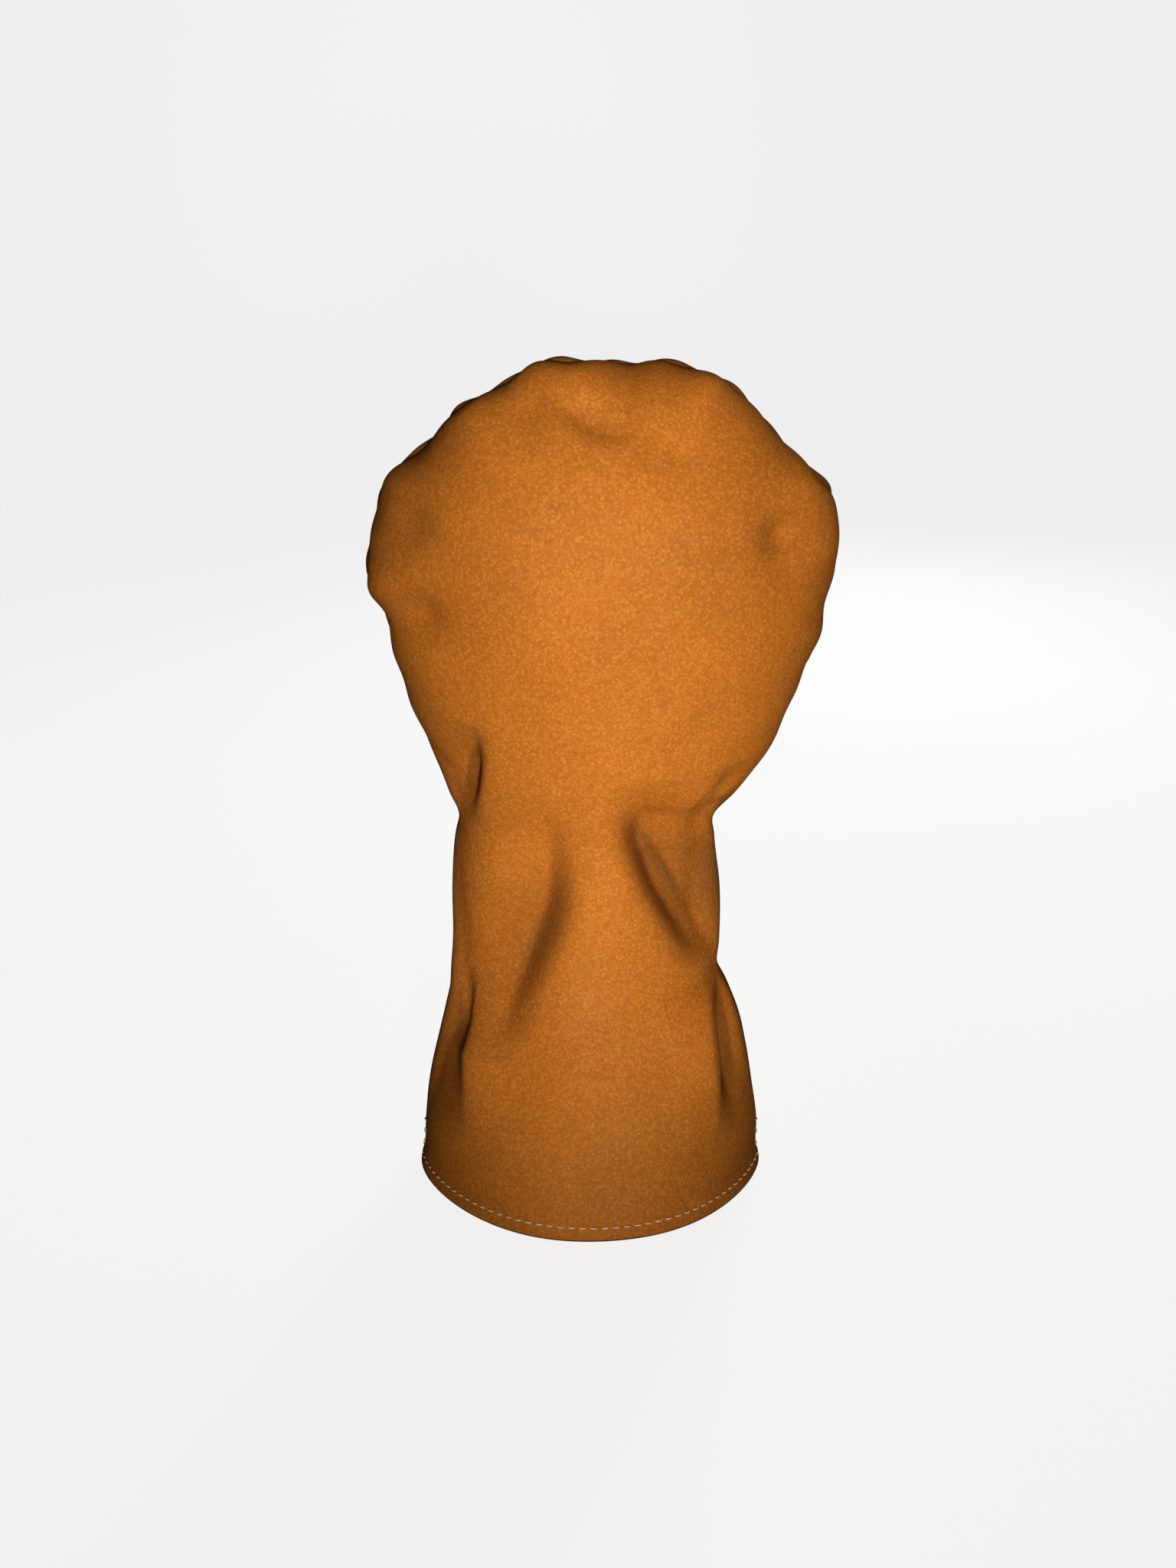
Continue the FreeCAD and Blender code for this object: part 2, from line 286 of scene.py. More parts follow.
# From the right side of the skirt over the crown to the left side of the skirt, with 0 where the head is
# widest on the right.
SEAM_SWINGS = (
    Swing(-176, 21, 10.0), Swing(-92, 9, 3.0), Swing(8, 8, 9.0), Swing(31, 11, 14.0), Swing(57, 7, 2.0),
    Swing(80, 11, 10.0), Swing(129, 14, 12.0), Swing(151, 8, 8.0), Swing(169, 12, 11.0), Swing(205, 9, 4.0),
    Swing(242, 9, 10.0), Swing(322, 10, 3.0), Swing(407, 20, 8.0),
)

# The neck's two folds, the skirt's ridges and ditches, the notches over the neck, and the crown's creases
# and hollows.
DENTS = (
    Fold(((94, 47, 3), (103, 44, 9), (116, 38, 14), (130, 31, 16), (145, 24, 13), (162, 19, 4)), 9.0, 18.0),
    Fold(
        ((70, -38, 4), (86, -32, 9), (102, -25, 12), (118, -19, 13), (136, -17, 9), (156, -18, 3)),
        22.0, 10.0,
    ),
    Fold(((36, -43.5, -1.0), (50, -44, -2.2), (66, -44.5, -3.0), (82, -45, -2.5)), 4.0, 13.0),
    Fold(((36, 46.0, -1.5), (50, 45.5, -3.2), (66, 44.5, -4.0), (80, 43, -3.0)), 14.0, 4.0),
    Fold(((34, -58, 2), (46, -56, 3.5), (59, -54, 4), (72, -52, 4), (82, -50.5, 2.5)), 10.0, 7.5),
    Fold(((34, 58, 2), (46, 56.5, 5), (58, 55, 7), (72, 52.5, 6.5), (82, 50.5, 2.5)), 5.0, 6.5),
    Fold(((154, -46, 4), (167, -44, 9), (181, -41.5, 4)), 11.0, 4.5),
    Fold(((146, 44, 2), (156, 46.5, 5), (165, 50.5, 3)), 4.0, 5.5),
    Fold(((287, 7, 1.0), (292, 3.5, 3.2), (298, -3, 3.6), (303, -8, 2)), 6.0, 8.0),
    Fold(((290, -20, 1.2), (297, -21, 2.8), (303, -22, 1.6)), 5.0, 6.0),
    Dimple(67, 256, 9, 12, 6.5),
    Dimple(-60, 228, 11, 9, 5.5),
    Dimple(-62, 260, 10, 9, 3.5),
    Dimple(40, 190, 8, 6, 1.2),
    Dimple(26, 287, 9, 8, 2.4),
    Dimple(14, 22, 34, 9, 2.0),
    Dimple(-30, 52, 16, 22, 1.6),
)


@dataclass
class CoverForm:
    """The outer face of the cover, as a smooth shape that every layer is worked out from, in millimetres.

    A place on a panel is (s, t): s runs from -1 at its left edge to 1 at its right edge, and t from 0 at
    the hem, past 1 at the widest level of the head, to 2 along the crown seam.
    """

    drawn_height: float = 310.0
    drawn_half_neck: float = 50.0
    crown_radius: float = 75.0
    lip: float = 1.5
    pucker: float = 1.1
    pucker_reach: float = 15.0
    pucker_from: tuple[float, float] = (150.0, 200.0)
    seam_calm: float = 5.0
    swing_reach: float = 26.0
    unevenness: float = 0.45
    hem_squeeze: float = 0.3
    squeeze_height: float = 30.0
    groove: float = 0.35
    groove_half: float = 1.3
    hem_thread_radius: float = 0.3
    normal_step: float = 0.004

    def __post_init__(self) -> None:
        """Scales the outline to the frame's own sizes."""
        low, high = (np.array(corner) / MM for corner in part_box("front_panel"))
        self.scale = high[2] / self.drawn_height
        self.height = high[2]
        elastic = [corner[2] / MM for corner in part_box("neck_elastic")]
        self.elastic_low, self.elastic_high = elastic
        middle = sum(elastic) / 2
        self.gathers = Gathers(middle, self.elastic_high - middle, self.drawn_half_neck * self.scale)
        self.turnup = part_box("front_lining")[0][2] / MM
        self.heights = [level.height * self.scale for level in LEVELS]
        self.head_level = self.heights[-1]
        self.head_middle = (LEVELS[-1].left + LEVELS[-1].right) / 2 * self.scale

    def along_levels(self, field: str, z: Array) -> Array:
        """One column of the outline as a curve over height."""
        return curve_through(self.heights, [getattr(level, field) * self.scale for level in LEVELS], z)

    def seam_place(self, x: Array, z: Array) -> Array:
        """Distance along the panel seam, from the head's right side over the crown to the left side.

        Args:
            x: Places across the cover.
            z: Heights.

        Returns:
            The distance at each, below zero under the head's right side.
        """
        angle = np.arctan2(np.clip(z - self.head_level, 0, None), x - self.head_middle)
        below = np.clip(self.head_level - z, 0, None)
        return angle * self.crown_radius + np.where(x > self.head_middle, -below, below)

    def smooth_face(self, side: Side, s: Array, t: Array) -> Array:
        """The face without its dents and folds.

        Args:
            side: The panel.
            s: Places across it.
            t: Places up it.

        Returns:
            Points in millimetres, with x, y, z last.
        """
        across = np.sin(HALF_TURN * s)
        climb = np.sin(HALF_TURN * np.clip(t - 1, 0, 1))
        z_low = self.lip + (self.head_level - self.lip) * np.clip(t, 0, 1)
        left, right = self.along_levels("left", z_low), self.along_levels("right", z_low)
        depth = self.along_levels("front" if side is Side.FRONT else "back", z_low)
        px = across * np.sqrt(1 - climb**2 / 2)
        pz = climb * np.sqrt(1 - across**2 / 2)
        angle = np.degrees(np.arctan2(pz, px))
        swell = curve_through(*zip(*CROWN_OUTLINE), angle)
        swell = 1 + (swell - 1) * (px**2 + pz**2) ** 1.5
        half_width = (right - left) / 2
        x_crown = self.head_middle + half_width * px * swell
        x = np.where(t > 1, x_crown, (left + right) / 2 + half_width * across)
        z = z_low + (self.height - self.head_level) * pz * swell
        hem_squeeze = self.hem_squeeze if side is Side.FRONT else 0
        squeeze = 1 + hem_squeeze * np.exp(-((z_low / self.squeeze_height) ** 2))
        round_off = np.clip(np.cos(HALF_TURN * s), 0, 1) ** squeeze
        y = self.lip + (depth - self.lip) * round_off * np.cos(HALF_TURN * np.clip(t - 1, 0, 1))
        return np.stack([x, side.value * y, z], axis=-1)

    @staticmethod
    def away_from_seam_loop(loop: Array) -> Array:
        """Unit directions in the seam's plane that point out of the cover.

        Args:
            loop: Points up the left edge, over the crown and down the right edge.

        Returns:
            One direction for each point.
        """
        ahead = np.gradient(loop, axis=0)
        out = np.stack([-ahead[:, 2], np.zeros(len(loop)), ahead[:, 0]], axis=-1)
        return unit(out)

    def outward(self, face: FaceFunction, side: Side, s: Array, t: Array) -> Array:
        """Unit normals of a face that point out of the cover, read just inside its corners.

        Args:
            face: Gives the face's points.
            side: The panel.
            s: Places across it.
            t: Places up it.

        Returns:
            One normal for each place.
        """
        step = self.normal_step
        s, t = np.clip(s, -1 + 4 * step, 1 - 4 * step), np.clip(t, 0, 2 - 4 * step)
        ds = face(side, s + step, t) - face(side, s - step, t)
        dt = face(side, s, t + step) - face(side, s, np.clip(t - step, 0, 2))
        return unit(np.cross(ds, dt) * -side.value)

    def deep_dents(self, side: Side, x: Array, z: Array) -> Array:
        """Depth of the dents that leather and lining share.

        Args:
            side: The panel.
            x: Places across it.
            z: Heights.

        Returns:
            The depth at each place.
        """
        total = np.zeros_like(x)
        for dent in DENTS:
            if dent.side is side:
                total += dent.depth_at(x / self.scale, z / self.scale) * self.scale
        return total

    def follow_seam(self, point: Array, y: Array, place: Array) -> Array:
        """Moves points forwards where the seam swings to the front.

        Args:
            point: Points to move.
            y: How far each lies from the seam's plane.
            place: Place along the seam that each lies beside.

        Returns:
            The moved points.
        """
        swing = sum(stretch.reach_at(place) for stretch in SEAM_SWINGS)
        moved = point.copy()
        moved[..., 1] -= swing * np.exp(-((y / self.swing_reach) ** 2))
        return moved

    def follow_from_smooth(self, point: Array) -> Array:
        """Moves points of an inner layer forwards with the seam."""
        x, y, z = point[..., 0], np.abs(point[..., 1]), point[..., 2]
        return self.follow_seam(point, y, self.seam_place(x, z))

    def leather_face(self, side: Side, s: Array, t: Array) -> Array:
        """The outer face of the leather, with its dents, puckers, gathers and hem.

        Args:
            side: The panel.
            s: Places across it.
            t: Places up it.

        Returns:
            Points in millimetres, with x, y, z last.
        """
        point = self.smooth_face(side, s, t)
        normal = self.outward(self.smooth_face, side, s, t)
        x, y, z = point[..., 0], np.abs(point[..., 1]), point[..., 2]
        place = self.seam_place(x, z)
        at_seam = np.exp(-(((y - self.lip) / self.pucker_reach) ** 2))
        wave = waviness(place, (34, 21), 11 if side is Side.FRONT else 12)
        lift = self.pucker * smooth_step(*self.pucker_from, z) * wave * at_seam
        away = 1 - np.exp(-(((y - self.lip) / self.seam_calm) ** 2))
        lift = lift - self.deep_dents(side, x, z) * away
        lift = lift + self.unevenness * waviness(x + 0.5 * z, (83, 57), 21) * away
        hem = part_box("hem_topstitch")[0][2] / MM + self.hem_thread_radius
        lift = lift - self.groove * np.exp(-(((z - hem) / self.groove_half) ** 2))
        if side is Side.BACK:
            lift = lift + self.gathers.lift(point)
        return self.follow_seam(point + normal * lift[..., None], y, place)


# ---- meshes


class MeshMaker:
    """Collects points in millimetres and faces, and makes one object of them."""

    def __init__(self) -> None:
        """Starts empty."""
        self.points: list[Array] = []
        self.faces: list[tuple[int, ...]] = []
        self.count = 0

    def add(self, points: Array) -> Array:
        """Adds points.

        Args:
            points: Points in an array of any shape.

        Returns:
            Their numbers, in the same shape.
        """
        shape = points.shape[:-1]
        self.points.append(points.reshape(-1, 3))
        start = self.count
        self.count += int(np.prod(shape))
        return np.arange(start, self.count).reshape(shape)

    def skin(self, rows: Array, wrap: bool = False) -> None:
        """Joins a grid of point numbers with four-sided faces.

        Args:
            rows: Point numbers, one row after another.
            wrap: Whether each row's end joins its start.
        """
        if wrap:
            rows = np.concatenate([rows, rows[:, :1]], axis=1)
        quads = np.stack([rows[:-1, :-1], rows[:-1, 1:], rows[1:, 1:], rows[1:, :-1]], axis=-1)
        self.faces += [tuple(q) for q in quads.reshape(-1, 4).tolist()]

    def mesh(self, name: str) -> bpy.types.Mesh:
        """Makes the mesh, in metres and smooth shaded.

        Args:
            name: Its name.

        Returns:
            The mesh.
        """
        made = bpy.data.meshes.new(name)
        made.from_pydata((np.concatenate(self.points) * MM).tolist(), [], self.faces)
        made.shade_smooth()
        made.update()
        return made


def face_outwards(mesh: bpy.types.Mesh, out: Vector) -> None:
    """Turns a connected sheet's faces the same way, most of them towards a direction.

    Args:
        mesh: The sheet.
        out: The direction.
    """
    work = bmesh.new()
    work.from_mesh(mesh)
    bmesh.ops.recalc_face_normals(work, faces=work.faces)
    if sum(face.normal.dot(out) * face.calc_area() for face in work.faces) < 0:
        bmesh.ops.reverse_faces(work, faces=work.faces)
    work.to_mesh(mesh)
    work.free()


def settle(obj: bpy.types.Object) -> None:
    """Applies an object's modifiers to its mesh.

    Args:
        obj: The object.
    """
    graph = bpy.context.evaluated_depsgraph_get()
    finished = bpy.data.meshes.new_from_object(obj.evaluated_get(graph))
    obj.modifiers.clear()
    obj.data = finished


def thicken(obj: bpy.types.Object, thickness: float) -> None:
    """Gives a sheet a thickness behind its face.

    Args:
        obj: The sheet.
        thickness: In millimetres.
    """
    solid = obj.modifiers.new("thickness", "SOLIDIFY")
    solid.thickness = thickness * MM
    solid.offset = -1
    solid.use_even_offset = False
    settle(obj)


def stand_on_floor(obj: bpy.types.Object, give: float = 0.1) -> None:
    """Presses what hangs below the floor up to it.

    Args:
        obj: The piece.
        give: The most that is still below afterwards, in millimetres.
    """
    for vertex in obj.data.vertices:
        if vertex.co.z < 0:
            vertex.co.z = give * MM * (math.exp(vertex.co.z / (give * MM)) - 1)


def place_piece(obj: bpy.types.Object, node: str, finish: "Finish") -> None:
    """Dresses a piece and puts it in place of its CAD node.

    Args:
        obj: The piece.
        node: CAD node that it stands for.
        finish: What its surface is made of.
    """
    stand_on_floor(obj)
    obj.data.materials.clear()
    obj.data.materials.append(finish.material())
    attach(obj, BODY)
    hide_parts(node)
    LOG.info("%s: %d faces", obj.name, len(obj.data.polygons))


def new_object(name: str, mesh: bpy.types.Mesh) -> bpy.types.Object:
    """Makes an object and links it into the scene.

    Args:
        name: Its name.
        mesh: Its mesh.

    Returns:
        The object.
    """
    obj = bpy.data.objects.new(name, mesh)
    bpy.context.scene.collection.objects.link(obj)
    return obj


# ---- finishes


class Graph:
    """Small helper that adds shader nodes and joins them."""

    def __init__(self, name: str) -> None:
        """Makes a material with one surface shader, and texture places in millimetres.

        Args:
            name: The material's name.
        """
        self.made = bpy.data.materials.new(name)
        self.made.use_nodes = True
        self.tree = self.made.node_tree
        self.shader = self.tree.nodes["Principled BSDF"]
        self.millimetres = self.add("ShaderNodeVectorMath", operation="SCALE")
        self.millimetres.inputs["Scale"].default_value = 1 / MM
        self.join(self.add("ShaderNodeTexCoord").outputs["Object"], self.millimetres.inputs[0])

    def add(self, kind: str, **settings: object) -> bpy.types.Node:
        """Adds a node.

        Args:
            kind: Blender's name for its type.
            **settings: Its properties.

        Returns:
            The node.
        """
        node = self.tree.nodes.new(kind)
        for name, value in settings.items():
            setattr(node, name, value)
        return node

    def join(self, source: Socket, target: Socket) -> None:
        """Joins an output socket to an input socket."""
        self.tree.links.new(source, target)

    def texture(self, kind: str, size: float, **values: float) -> bpy.types.Node:
        """Adds a texture.

        Args:
            kind: Noise or Voronoi.
            size: Size of its features in millimetres.
            **values: Its other sockets.

        Returns:
            The texture's node.
        """
        node = self.add(f"ShaderNodeTex{kind}")
        self.join(self.millimetres.outputs[0], node.inputs["Vector"])
        node.inputs["Scale"].default_value = 1 / size
        for name, value in values.items():
            node.inputs[name].default_value = value
        return node

    def ramp(self, source: Socket, low: float, high: float, start: float, end: float) -> Socket:
        """Maps a value from one range to another.

        Args:
            source: The value.
            low: Where its range starts.
            high: Where its range ends.
            start: What `low` becomes.
            end: What `high` becomes.

        Returns:
            The mapped value.
        """
        node = self.add("ShaderNodeMapRange")
        for name, value in (("From Min", low), ("From Max", high), ("To Min", start), ("To Max", end)):
            node.inputs[name].default_value = value
        self.join(source, node.inputs["Value"])
        return node.outputs["Result"]

    def blend(self, share: Socket, first: Socket | Colour, second: Socket | Colour) -> Socket:
        """Mixes two colours.

        Args:
            share: How much of the second to take.
            first: One colour.
            second: The other.

        Returns:
            The mixed colour.
        """
        node = self.add("ShaderNodeMix", data_type="RGBA")
        for socket, value in ((node.inputs[0], share), (node.inputs[6], first), (node.inputs[7], second)):
            if isinstance(value, Socket):
                self.join(value, socket)
            else:
                socket.default_value = value
        return node.outputs[2]

    def bump(self, height: Socket, strength: float, depth: float, under: Socket | None = None) -> Socket:
        """Adds a bump.

        Args:
            height: What gives its height.
            strength: Share of it that shows.
            depth: Its depth in millimetres.
            under: A coarser bump beneath it.

        Returns:
            The bump's normal.
        """
        node = self.add("ShaderNodeBump")
        node.inputs["Strength"].default_value = strength
        node.inputs["Distance"].default_value = depth * MM
        self.join(height, node.inputs["Height"])
        if under is not None:
            self.join(under, node.inputs["Normal"])
        return node.outputs["Normal"]

    def set(self, **values: float | Colour) -> None:
        """Sets the shader's own sockets, named with underscores for spaces."""
        for name, value in values.items():
            self.shader.inputs[name.replace("_", " ")].default_value = value


@dataclass(frozen=True)
class Finish:
    """What a piece's surface is made of."""

    name: str
    colour: tuple[float, float, float]
    roughness: float

    def material(self) -> bpy.types.Material:
        """The finish's material, made once.

        Returns:
            The material.
        """
        known = bpy.data.materials.get(self.name)
        if known:
            return known
        graph = Graph(self.name)
        graph.set(Roughness=self.roughness)
        self.paint(graph)
        return graph.made

    def paint(self, graph: Graph) -> None:
        """Draws the finish with a graph's nodes: each kind of finish has its own way."""
        raise NotImplementedError


@dataclass(frozen=True)
class PebbledLeather(Finish):
    """Soft leather with a fine pebbled grain."""

    dark: tuple[float, float, float] = (0.22, 0.07, 0.010)
    # Lighter tone that some pebbles take at random: partly the grain's own tone, partly painted glints on
    # pebble tops.
    glint_tone: tuple[float, float, float] = (0.86, 0.32, 0.05)
    # Shadow tone of the painted shade on seam edges, fold banks and fold floors.
    shadow_paint: tuple[float, float, float] = (0.09, 0.035, 0.008)
    pebble: float = 0.95

    def paint(self, graph: Graph) -> None:
        """Grain as bump, darker between pebbles, with a slow drift of colour, some pebbles painted lighter
        as partly painted glints, and painted shade along the seam edges, on fold banks and in fold floors.

        Args:
            graph: Helper that holds the material's nodes.
        """
        pebbles = graph.texture("Voronoi", self.pebble, Randomness=1.0)
        # Some pebbles painted lighter at random, partly as painted glints.
        glint_share = graph.ramp(pebbles.outputs["Color"], 0.35, 1.0, 0.0, 0.45)
        warp = graph.texture("Noise", 0.5, Detail=3.0)
        broad = graph.texture("Noise", 45.0, Detail=2.0)
        mottle = graph.texture("Noise", 6.0, Detail=4.0, Roughness=0.65)
        colour = (*self.colour, 1)
        drift = graph.blend(graph.ramp(broad.outputs[0], 0.35, 0.7, 0.0, 0.28), colour, (*self.dark, 1))
        spots = graph.blend(graph.ramp(mottle.outputs[0], 0.4, 0.75, 0.0, 0.12), drift, (*self.dark, 1))
        furrow = graph.ramp(pebbles.outputs["Distance"], 0.25, 0.75, 0.0, 0.35)
        glinted = graph.blend(glint_share, spots, (*self.glint_tone, 1))
        skin = graph.blend(furrow, glinted, (*self.dark, 1))
        # Painted shade: the attribute darkens the colour towards the shadow tone.
        edge = graph.add("ShaderNodeAttribute", attribute_name=PAINTED_SHADE).outputs["Fac"]
        soil_and_shade = graph.blend(graph.ramp(edge, 0.0, 1.0, 0.0, 0.85), skin, (*self.shadow_paint, 1))
        graph.join(soil_and_shade, graph.shader.inputs["Base Color"])
        grain = graph.bump(graph.ramp(pebbles.outputs["Distance"], 0.0, 0.8, 1.0, 0.0), 0.8, 0.14)
        fine = graph.bump(warp.outputs[0], 0.35, 0.06, grain)
        graph.join(fine, graph.shader.inputs["Normal"])
        graph.join(graph.ramp(mottle.outputs[0], 0.3, 0.7, 0.50, 0.62), graph.shader.inputs["Roughness"])
        graph.set(Specular_IOR_Level=0.2, Specular_Tint=(1.0, 0.62, 0.32, 1))


@dataclass(frozen=True)
class PlushPile(Finish):
    """Short soft pile of the lining."""

    def paint(self, graph: Graph) -> None:
        """Clumps of pile as bump and as light and dark.

        Args:
            graph: Helper that holds the material's nodes.
        """
        clumps = graph.texture("Noise", 2.2, Detail=6.0, Roughness=0.7)
        tips = graph.texture("Voronoi", 0.6)
        dark = tuple(0.35 * c for c in self.colour)
        shade = graph.blend(graph.ramp(clumps.outputs[0], 0.3, 0.7, 0, 1), (*dark, 1), (*self.colour, 1))
        graph.join(shade, graph.shader.inputs["Base Color"])
        rough = graph.bump(clumps.outputs[0], 0.9, 1.4)
        graph.join(graph.bump(tips.outputs["Distance"], 0.8, 0.5, rough), graph.shader.inputs["Normal"])
        graph.set(Sheen_Weight=0.6, Sheen_Roughness=0.5, Specular_IOR_Level=0.1)


@dataclass(frozen=True)
class WovenElastic(Finish):
    """Ribbed woven elastic."""

    fuzz: Colour = (0.10, 0.10, 0.10, 1)

    def paint(self, graph: Graph) -> None:
        """Fine ribs along the band, with a little fuzz.

        Args:
            graph: Helper that holds the material's nodes.
        """
        ribs = graph.add("ShaderNodeTexWave", wave_type="BANDS", bands_direction="Z")
        graph.join(graph.millimetres.outputs[0], ribs.inputs["Vector"])
        ribs.inputs["Scale"].default_value = 0.25
        hairs = graph.texture("Noise", 0.8, Detail=3.0)
        shade = graph.blend(graph.ramp(hairs.outputs[0], 0.3, 0.7, 0, 1), (*self.colour, 1), self.fuzz)
        graph.join(shade, graph.shader.inputs["Base Color"])
        graph.join(graph.bump(ribs.outputs["Color"], 0.8, 0.3), graph.shader.inputs["Normal"])
        graph.set(Sheen_Weight=0.3, Specular_IOR_Level=0.2)


@dataclass(frozen=True)
class WaxedThread(Finish):
    """Twisted sewing thread."""

    def paint(self, graph: Graph) -> None:
        """Fine fibres as bump, with spots of dirt.

        Args:
            graph: Helper that holds the material's nodes.
        """
        fibre = graph.texture("Noise", 0.12, Detail=3.0)
        soil = graph.texture("Noise", 7.0, Detail=2.0)
        soil_and_shade = tuple(0.62 * c for c in self.colour)
        shade = graph.blend(graph.ramp(soil.outputs[0], 0.45, 0.8, 0, 0.6), (*self.colour, 1), (*soil_and_shade, 1))
        graph.join(shade, graph.shader.inputs["Base Color"])
        graph.join(graph.bump(fibre.outputs[0], 0.5, 0.05), graph.shader.inputs["Normal"])
        graph.set(Specular_IOR_Level=0.2)


@dataclass(frozen=True)
class StudioFloor(Finish):
    """Matt pale floor."""

    glow: Colour = (0.95, 0.95, 0.95, 1)

    def paint(self, graph: Graph) -> None:
        """One pale tone with a faint unevenness.

        Args:
            graph: Helper that holds the material's nodes.
        """
        tone = graph.texture("Noise", 300.0, Detail=1.0)
        pale = (*self.colour, 1)
        duller = (*(0.97 * c for c in self.colour), 1)
        graph.join(graph.blend(tone.outputs[0], pale, duller), graph.shader.inputs["Base Color"])
        graph.set(Specular_IOR_Level=0.1, Emission_Color=self.glow, Emission_Strength=0.9)


LEATHER = PebbledLeather("tan_pebbled_leather", (0.61, 0.17, 0.016), 0.5)
PLUSH = PlushPile("dark_plush_pile", (0.055, 0.045, 0.04), 0.9)
ELASTIC = WovenElastic("black_woven_elastic", (0.03, 0.03, 0.03), 0.7)
PALE_THREAD = WaxedThread("pale_waxed_thread", (1.0, 0.80, 0.52), 0.7)
TAN_THREAD = WaxedThread("tan_waxed_thread", (0.30, 0.115, 0.035), 0.55)
FLOOR = StudioFloor("pale_studio_floor", (0.2, 0.2, 0.2), 0.8)


# ---- leather panels


@dataclass
class Panel:
    """One leather panel, from its turned hem to its seam allowance, in millimetres."""

    form: CoverForm
    side: Side
    node: str
    columns: int = 128
    hem_rows: int = 24
    hem_end: float = 0.1
    low_rows: int = 170
    crown_rows: int = 60
    thickness: float = 1.3
    allowance: float = 4.0
    seam_gap: float = 0.06
    fold_steps: int = 5
    hem_steps: int = 8
    turnup_rows: int = 7
    turnup_from: float = 1.2
    turnup_lean: float = 0.12
    # Painted shade: its reach in from the seam edges, the smaller share on the back, and its amount on steep
    # fold banks and deep fold floors.
    shade_reach: float = 3.5
    back_shade: float = 0.15
    bank_shade: float = 0.6
    steep: tuple[float, float] = (0.35, 1.3)
    hollow_shade: float = 0.4
    deep: tuple[float, float] = (6.0, 16.0)

    def build(self) -> None:
        """Makes the panel and dresses it in leather."""
        maker = MeshMaker()
        s, t = np.meshgrid(np.linspace(-1, 1, self.columns), np.concatenate([
            np.linspace(0, self.hem_end, self.hem_rows, endpoint=False),
            np.linspace(self.hem_end, 1, self.low_rows, endpoint=False),
            np.linspace(1, 2, self.crown_rows),
        ]))
        face = self.form.leather_face(self.side, s, t)
        grid = maker.add(face)
        maker.skin(grid)
        rounded = self.add_seam_lip(maker, grid, face)
        self.add_turned_hem(maker, grid, face, rounded)
        obj = new_object(f"{self.node}_leather", maker.mesh(self.node))
        # Painted shade: the rolled lip, the allowance and the turned hem are painted fully shaded.
        shade = np.ones(maker.count)
        shade[: grid.size] = self.painted_shade_at(s, t, face).ravel()
        obj.data.attributes.new(PAINTED_SHADE, "FLOAT", "POINT").data.foreach_set("value", shade)
        face_outwards(obj.data, Vector((0, self.side.value, 0)))
        thicken(obj, self.thickness)
        place_piece(obj, self.node, LEATHER)

    def painted_shade_at(self, s: Array, t: Array, face: Array) -> Array:
        """How much painted shade the leather gets: along the seam edges, where the panel turns away from the
        front, on steep banks of folds, and on the floors of deep folds.

        Args:
            s: Places across the panel.
            t: Places up it.
            face: The panel's points there.

        Returns:
            The painted shade at each point, from 0 to 1.
        """
        depth = np.abs(self.form.smooth_face(self.side, s, t)[..., 1]) - self.form.lip
        dents = self.form.deep_dents(self.side, face[..., 0], face[..., 2])
        slope = np.abs(np.gradient(dents, axis=1) / np.gradient(face[..., 0], axis=1))
        reach = self.shade_reach * (1.0 if self.side is Side.FRONT else self.back_shade)
        shadow_paint = np.exp(-depth / reach) + self.bank_shade * smooth_step(*self.steep, slope)
        return np.clip(shadow_paint + self.hollow_shade * smooth_step(*self.deep, dents), 0, 1)

    def add_seam_lip(self, maker: MeshMaker, grid: Array, face: Array) -> list[Array]:
        """Rolls the panel's edge inwards at the seam and adds the allowance behind it.

        Args:
            maker: Collects the mesh.
            grid: Point numbers of the panel's face.
            face: The same points.

        Returns:
            Point numbers of the rolled edge, one row for each step inwards.
        """
        numbers = np.concatenate([grid[:, 0], grid[-1, 1:-1], grid[::-1, -1]])
        edge = np.concatenate([face[:, 0], face[-1, 1:-1], face[::-1, -1]])
        out = self.form.away_from_seam_loop(edge)
        lip = self.form.lip
        to_seam = np.array([0.0, -self.side.value, 0.0])
        rows = [numbers]
        for step in range(1, self.fold_steps + 1):
            angle = HALF_TURN * step / self.fold_steps
            shift = to_seam * (lip - self.seam_gap) * math.sin(angle) - out * lip * (1 - math.cos(angle))
            rows.append(maker.add(edge + shift))
        rolled = rows[1:]
        depth = self.allowance * smooth_step(self.form.turnup, self.form.turnup + 10, edge[:, 2])[:, None]
        for share in (0.33, 0.66, 1.0):
            shift = to_seam * (lip - self.seam_gap) - out * (lip + 0.1 + depth * share)
            rows.append(maker.add(edge + shift))
        maker.skin(np.stack(rows))
        return rolled

    def add_turned_hem(self, maker: MeshMaker, grid: Array, face: Array, rolled: list) -> None:
        """Folds the lower edge inwards and up inside the hem.

        Args:
            maker: Collects the mesh.
            grid: Point numbers of the panel's face.
            face: The same points; not used.
            rolled: Point numbers of the rolled seam edge.
        """
        points = np.concatenate(maker.points)
        left = [row[0] for row in rolled[::-1]]
        right = [row[-1] for row in rolled]
        numbers = np.array([*left, *grid[0], *right])
        edge = points[numbers]
        ahead = np.gradient(edge, axis=0)
        inwards = unit(np.stack([ahead[:, 1], -ahead[:, 0], np.zeros(len(edge))], axis=-1))
        middle = len(edge) // 2
        inwards *= -np.sign(inwards[middle, 1] * edge[middle, 1])
        fold = self.form.lip
        rows = [numbers]
        for step in range(1, self.hem_steps + 1):
            angle = math.pi * step / self.hem_steps
            down = np.array([0.0, 0.0, -fold * math.sin(angle)])
            rows.append(maker.add(edge + inwards * fold * (1 - math.cos(angle)) + down))
        for rise in np.linspace(self.turnup_from, self.form.turnup - 2 * fold, self.turnup_rows):
            away = inwards * (2 * fold + self.turnup_lean * rise)
            rows.append(maker.add(edge + away + np.array([0, 0, rise])))
        maker.skin(np.stack(rows))


